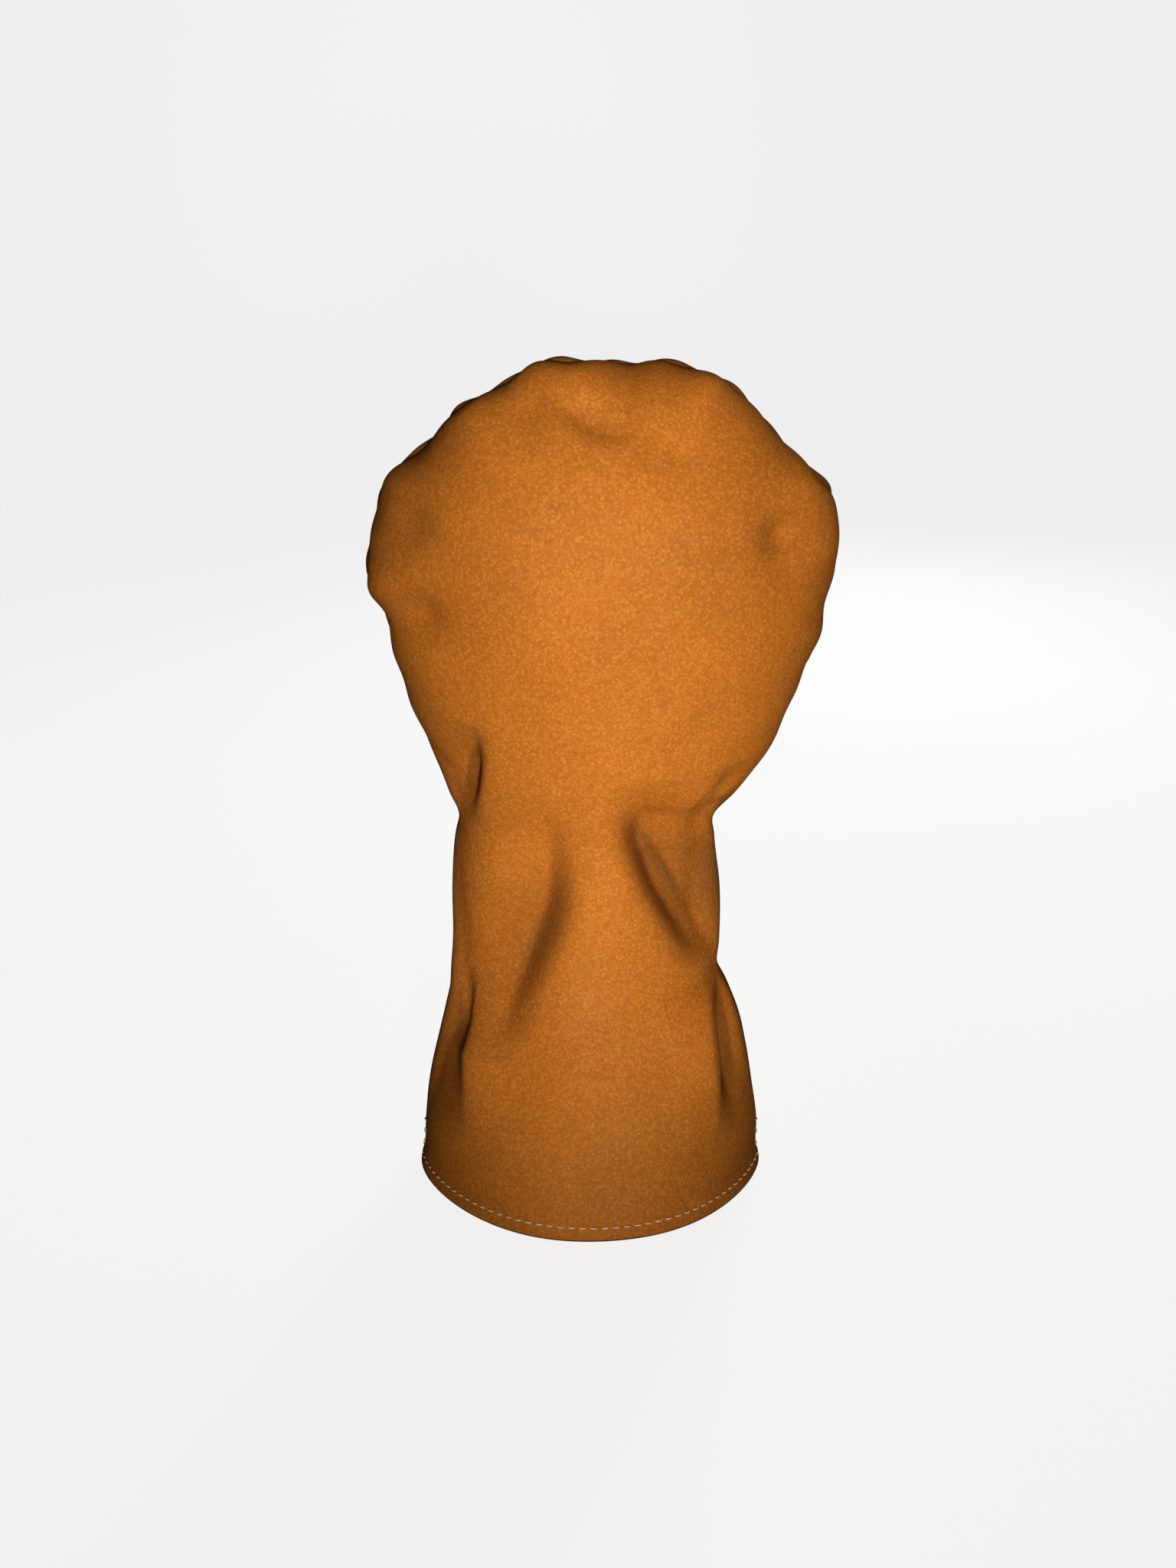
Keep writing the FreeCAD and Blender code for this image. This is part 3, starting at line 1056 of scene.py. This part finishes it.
@dataclass
class Lining:
    """One half of the plush lining, in millimetres."""

    form: CoverForm
    side: Side
    node: str
    columns: int = 110
    rows: int = 190
    inset: float = 3.4
    thickness: float = 3.6
    pile: float = 1.1
    tuft: float = 3.4
    fine_tuft: float = 1.5
    rim: float = 0.35
    side_swell: float = 16.0
    hem_swell: float = 22.0
    hem_gap: float = 0.4
    middle_gap: float = 0.02
    fill: float = 0.3

    def face(self, side: Side, s: Array, t: Array) -> Array:
        """The face that lies against the leather.

        Args:
            side: The panel that it lines.
            s: Places across it.
            t: Places up it.

        Returns:
            Points in millimetres.
        """
        point = self.form.smooth_face(side, s, t)
        normal = self.form.outward(self.form.smooth_face, side, s, t)
        dent = self.form.deep_dents(side, point[..., 0], point[..., 2])
        return point - normal * (self.inset + np.clip(dent, 0, None))[..., None]

    def pile_at(self, point: Array) -> Array:
        """Unevenness of the pile, from about -1.5 to 1.5.

        Args:
            point: Points in millimetres.

        Returns:
            The unevenness at each.
        """
        places = [Vector(place) for place in point.reshape(-1, 3)]
        tufts = [noise.noise(p / self.tuft) + 0.5 * noise.noise(p / self.fine_tuft) for p in places]
        return np.array(tufts).reshape(point.shape[:-1])

    def on_own_side(self, y: Array) -> Array:
        """Keeps distances from the seam's plane on this lining's side of it."""
        return self.side.value * np.clip(self.side.value * y, self.middle_gap, None)

    def build(self) -> None:
        """Makes the lining and dresses it in plush."""
        maker = MeshMaker()
        start = (self.form.turnup + self.hem_gap) / self.form.head_level
        s, t = np.meshgrid(np.linspace(-1, 1, self.columns), np.linspace(start, 2, self.rows))
        outer = self.face(self.side, s, t)
        outer[..., 1] = self.on_own_side(outer[..., 1] - self.side.value * self.form.lip)
        normal = self.form.outward(self.face, self.side, s, t)
        depth = self.thickness + self.pile * self.pile_at(outer)
        from_sides = np.minimum(1, (1 - np.abs(s)) * self.side_swell + self.rim)
        from_hem = np.minimum(1, (t - start) * self.hem_swell + self.rim)
        inner = outer - normal * (depth * from_sides * from_hem)[..., None]
        inner[..., 1] = self.on_own_side(inner[..., 1])
        near = maker.add(self.form.follow_from_smooth(outer))
        far = maker.add(self.form.follow_from_smooth(inner))
        maker.skin(near)
        maker.skin(far[:, ::-1])
        rim_near = np.concatenate([near[0], near[1:, -1], near[-1, -2::-1], near[-2:0:-1, 0]])
        rim_far = np.concatenate([far[0], far[1:, -1], far[-1, -2::-1], far[-2:0:-1, 0]])
        maker.skin(np.stack([rim_near, rim_far]), wrap=True)
        obj = new_object(f"{self.node}_plush", maker.mesh(self.node))
        face_outwards(obj.data, Vector((0, self.side.value, 0)))
        place_piece(obj, self.node, PLUSH)


@dataclass
class NeckElastic:
    """The woven band behind the gathers, in millimetres."""

    form: CoverForm
    inset: float = 2.7
    thickness: float = 0.9
    end: float = 0.92
    columns: int = 90
    rows: int = 40

    def build(self) -> None:
        """Makes the band."""
        maker = MeshMaker()
        low, high = (z / self.form.head_level for z in (self.form.elastic_low, self.form.elastic_high))
        across, up = np.linspace(-self.end, self.end, self.columns), np.linspace(low, high, self.rows)
        s, t = np.meshgrid(across, up)
        point = self.form.smooth_face(Side.BACK, s, t)
        normal = self.form.outward(self.form.smooth_face, Side.BACK, s, t)
        maker.skin(maker.add(self.form.follow_from_smooth(point - normal * self.inset)))
        obj = new_object("neck_elastic_band", maker.mesh("neck_elastic_band"))
        face_outwards(obj.data, Vector((0, 1, 0)))
        thicken(obj, self.thickness)
        place_piece(obj, "neck_elastic", ELASTIC)


# ---- stitching


@dataclass
class StitchRow:
    """A row of separate stitches along a path on the leather, in millimetres."""

    node: str
    finish: WaxedThread
    slot: str
    pitch: float = 4.1
    length: float = 2.4
    radius: float = 0.29
    proud: float = 0.28
    sink: float = 0.42
    plies: int = 3
    ply_depth: float = 0.13
    twist: float = 7.0
    around: int = 9
    along: int = 13

    def __post_init__(self) -> None:
        """Starts the row's mesh."""
        self.maker = MeshMaker()

    def sew(self, path: Array, normals: Array, shift: float = 0.0) -> None:
        """Adds stitches along a path.

        Args:
            path: Close-set points.
            normals: Unit normals of the leather at them.
            shift: Start of the first stitch, in pitches.
        """
        lengths = np.concatenate([[0], np.cumsum(np.linalg.norm(np.diff(path, axis=0), axis=1))])
        count = max(1, round(lengths[-1] / self.pitch))
        step = lengths[-1] / count
        for n in range(count):
            start = (n + shift) * step
            if start + self.length > lengths[-1]:
                continue
            self.add_stitch(path, normals, lengths, start)

    def add_stitch(self, path: Array, normals: Array, lengths: Array, start: float) -> None:
        """Adds one twisted stitch that rises out of the leather and dips back in.

        Args:
            path: Points of the row.
            normals: Normals at them.
            lengths: Distance along the row to each.
            start: Where the stitch begins.
        """
        u = np.linspace(0, 1, self.along)
        at = start + self.length * u
        spine = np.stack([np.interp(at, lengths, column) for column in path.T], axis=-1)
        up = unit(np.stack([np.interp(at, lengths, column) for column in normals.T], axis=-1))
        arch = np.sin(np.pi * u) ** 0.45
        spine = spine + up * (self.radius * 0.4 + (self.proud + self.sink) * arch - self.sink)[:, None]
        ahead = unit(np.gradient(spine, axis=0))
        aside = unit(np.cross(ahead, up))
        above = np.cross(aside, ahead)
        angle = np.linspace(0, 2 * np.pi, self.around, endpoint=False)[None, :]
        ply = 1 + self.ply_depth * np.cos(self.plies * (angle - u[:, None] * self.twist))
        end = (0.45 + 0.55 * np.minimum(1, 8 * np.minimum(u, 1 - u)))[:, None]
        radius = self.radius * ply * end
        ring = spine[:, None] + (radius * np.cos(angle))[..., None] * aside[:, None]
        ring = ring + (0.85 * radius * np.sin(angle))[..., None] * above[:, None]
        numbers = self.maker.add(ring)
        self.maker.skin(numbers, wrap=True)
        self.maker.faces += [tuple(numbers[0][::-1].tolist()), tuple(numbers[-1].tolist())]

    def finish_row(self) -> None:
        """Makes the row's object."""
        obj = new_object(f"{self.node}_sewn", self.maker.mesh(self.node))
        place_piece(obj, self.node, self.finish)


@dataclass
class Stitching:
    """All of the cover's sewing: sizes in millimetres, and ends as places across a panel."""

    form: CoverForm
    samples: int = 900
    hem_end: float = 0.985
    side_row: float = 0.945
    side_tick: float = 0.93
    side_samples: int = 60
    elastic_end: float = 0.93
    seam_from: float = 8.0
    seam_samples: int = 700
    crown_samples: int = 400
    seam_inset: float = 3.2
    seam_aside: float = 1.7
    lining_seam_inset: float = 6.4
    lining_hem_end: float = 0.96
    lining_hem_inset: float = 4.2

    def on_leather(self, side: Side, s: Array, t: Array) -> tuple[Array, Array]:
        """Path on the leather.

        Args:
            side: The panel.
            s: Places across it.
            t: Places up it.

        Returns:
            The leather's points and normals.
        """
        point = self.form.leather_face(side, s, t)
        return point, self.form.outward(self.form.leather_face, side, s, t)

    def level_path(self, side: Side, z: float, s0: float, s1: float) -> tuple[Array, Array]:
        """Path across a panel at one height.

        Args:
            side: The panel.
            z: The height.
            s0: Where it starts.
            s1: Where it ends.

        Returns:
            The leather's points and normals.
        """
        s = np.linspace(s0, s1, self.samples)
        t = np.full_like(s, (z - self.form.lip) / (self.form.head_level - self.form.lip))
        return self.on_leather(side, s, t)

    def build_hem(self) -> None:
        """The pale row round the hem."""
        row = StitchRow("hem_topstitch", PALE_THREAD, "topstitch_thread")
        low, high = (corner[2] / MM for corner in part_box("hem_topstitch"))
        level = (low + high) / 2
        for side in Side:
            row.sew(*self.level_path(side, level, -self.hem_end, self.hem_end))
        row.finish_row()

    def build_sides(self) -> None:
        """The short pale rows beside the side seams."""
        for name, sign in (("left_side_topstitch", -1), ("right_side_topstitch", 1)):
            low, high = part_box(name)
            row = StitchRow(name, PALE_THREAD, "topstitch_thread")
            top = high[2] / MM
            z = np.linspace(low[2] / MM, top - self.form.lip, self.side_samples)
            t = (z - self.form.lip) / (self.form.head_level - self.form.lip)
            row.sew(*self.on_leather(Side.FRONT, np.full_like(t, sign * self.side_row), t))
            row.sew(*self.level_path(Side.FRONT, top, sign * self.side_tick, sign * 1.0))
            row.finish_row()

    def build_elastic_rows(self) -> None:
        """The three rows across the gathers."""
        for name in ("elastic_upper_stitching", "elastic_middle_stitching", "elastic_lower_stitching"):
            low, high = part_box(name)
            row = StitchRow(name, TAN_THREAD, "seam_thread", radius=0.34)
            level = (low[2] + high[2]) / 2 / MM
            row.sew(*self.level_path(Side.BACK, level, -self.elastic_end, self.elastic_end))
            row.finish_row()

    def seam_path(self, inset: float) -> tuple[Array, Array]:
        """Path just inside the panel seam, up one side, over the crown and down the other.

        Args:
            inset: How far inside.

        Returns:
            Its points, and the directions that point out of the cover.
        """
        start = (self.form.turnup + self.seam_from) / self.form.head_level
        up = np.linspace(start, 2, self.seam_samples, endpoint=False)
        t = np.concatenate([up, np.full(self.crown_samples, 2.0), up[::-1]])
        left = np.full(self.seam_samples, -1.0)
        s = np.concatenate([left, np.linspace(-1, 1, self.crown_samples), -left])
        point = self.form.leather_face(Side.FRONT, s, t)
        out = self.form.away_from_seam_loop(point)
        return point - out * inset, out

    def build_hidden(self) -> None:
        """The seams inside the cover, between leather and lining."""
        to_plane = np.array([0.0, self.form.lip, 0.0])
        seam = StitchRow("panel_seam_thread", TAN_THREAD, "seam_thread", proud=0.05, sink=0.1)
        path, _ = self.seam_path(self.seam_inset)
        for side in Side:
            aside = np.array([0.0, float(side.value), 0.0])
            shift = 0.25 if side is Side.BACK else 0.0
            seam.sew(path + to_plane + aside * self.seam_aside, np.tile(aside, (len(path), 1)), shift)
        seam.finish_row()
        join = StitchRow("lining_seam_thread", TAN_THREAD, "seam_thread", proud=0.05, sink=0.1)
        path, out = self.seam_path(self.lining_seam_inset)
        join.sew(path + to_plane, out)
        join.finish_row()
        hem = StitchRow("lining_hem_thread", TAN_THREAD, "seam_thread")
        end = self.lining_hem_end
        for side in Side:
            path, normals = self.level_path(side, self.form.turnup - 1.0, -end, end)
            flat = unit(normals * np.array([1, 1, 0]))
            hem.sew(path - flat * self.lining_hem_inset, -flat)
        hem.finish_row()


# ---- studio


@dataclass(frozen=True)
class SoftLight:
    """A soft light with a grid that narrows its beam, in metres, watts and degrees."""

    name: str
    place: tuple[float, float, float]
    target: tuple[float, float, float]
    size: tuple[float, float]
    power: float
    spread: float
    glossy: bool = False

    def build(self) -> None:
        """Hangs the light up and points it at its target."""
        data = bpy.data.lights.new(self.name, "AREA")
        data.shape = "RECTANGLE"
        data.size, data.size_y = self.size
        data.energy = self.power
        data.spread = math.radians(self.spread)
        light = bpy.data.objects.new(self.name, data)
        light.location = self.place
        light.visible_glossy = self.glossy
        aim = Vector(self.target) - Vector(self.place)
        light.rotation_euler = aim.to_track_quat("-Z", "Y").to_euler()
        bpy.context.scene.collection.objects.link(light)


LIGHTS = (
    SoftLight("key_light", (0.09, -1.2, 0.31), (0.006, 0, 0.29), (0.12, 0.54), 0.40, 16.0, glossy=True),
    SoftLight("top_light", (0.15, 0.45, 1.2), (0, 0, 0.2), (0.6, 0.6), 0.4, 120.0),
    SoftLight("back_light", (0.35, 1.25, 0.45), (0, 0, 0.16), (0.5, 0.5), 3.0, 90.0),
)


@dataclass
class Studio:
    """Floor, surroundings and camera. The floor is in millimetres, and the camera in metres and degrees."""

    camera_back: float = 0.710
    camera_height: float = 0.404
    camera_down: float = 19.264
    lens: float = 47.27
    long_side: float = 36.0
    floor_radius: float = 2600.0
    bend: float = 600.0
    wall_rises: tuple[float, ...] = (600.0, 1200.0, 2400.0)
    rings: int = 12
    around: int = 96
    surroundings: float = 0.02

    def build(self) -> None:
        """Sets the whole studio up."""
        self.add_floor()
        self.add_camera()
        for light in LIGHTS:
            light.build()
        self.add_world()
        bpy.context.scene.view_settings.view_transform = "Standard"

    def add_floor(self) -> None:
        """A pale round floor that curves up into a wall on every side, past the lights."""
        maker = MeshMaker()
        flat = [(radius, 0.0) for radius in np.linspace(1.0, self.floor_radius, self.rings)]
        bend = [
            (self.floor_radius + self.bend * math.sin(a), self.bend * (1 - math.cos(a)))
            for a in np.linspace(0, HALF_TURN, self.rings)[1:]
        ]
        wall = [(self.floor_radius + self.bend, self.bend + rise) for rise in self.wall_rises]
        angle = np.linspace(0, 2 * np.pi, self.around, endpoint=False)
        profile = np.array(flat + bend + wall)
        rings = np.stack([
            profile[:, :1] * np.cos(angle),
            profile[:, :1] * np.sin(angle),
            np.repeat(profile[:, 1:], len(angle), axis=1),
        ], axis=-1)
        maker.skin(maker.add(rings), wrap=True)
        floor = new_object("floor", maker.mesh("floor"))
        floor.data.materials.append(FLOOR.material())
        floor.visible_diffuse = False
        floor.visible_glossy = False
        floor.visible_shadow = False

    def add_camera(self) -> None:
        """The camera, in front of the cover and a little above it."""
        data = bpy.data.cameras.new("camera")
        data.sensor_fit = "VERTICAL"
        data.sensor_height = self.long_side
        data.lens = self.lens
        camera = bpy.data.objects.new("camera", data)
        camera.location = (0, -self.camera_back, self.camera_height)
        camera.rotation_euler = (math.radians(90 - self.camera_down), 0, 0)
        bpy.context.scene.collection.objects.link(camera)
        bpy.context.scene.camera = camera

    def add_world(self) -> None:
        """Even pale surroundings."""
        world = bpy.data.worlds.new("studio")
        world.use_nodes = True
        sockets = world.node_tree.nodes["Background"].inputs
        sockets["Color"].default_value = (1, 1, 1, 1)
        sockets["Strength"].default_value = self.surroundings
        bpy.context.scene.world = world


def main() -> None:
    """Builds the cover from the outside in, and then the studio round it."""
    logging.basicConfig(level=logging.INFO, format="%(name)s: %(message)s")
    form = CoverForm()
    Panel(form, Side.FRONT, "front_panel").build()
    Panel(form, Side.BACK, "back_panel").build()
    Lining(form, Side.FRONT, "front_lining").build()
    Lining(form, Side.BACK, "back_lining").build()
    NeckElastic(form).build()
    stitching = Stitching(form)
    stitching.build_hem()
    stitching.build_sides()
    stitching.build_elastic_rows()
    stitching.build_hidden()
    Studio().build()


if __name__ == "__main__":
    main()
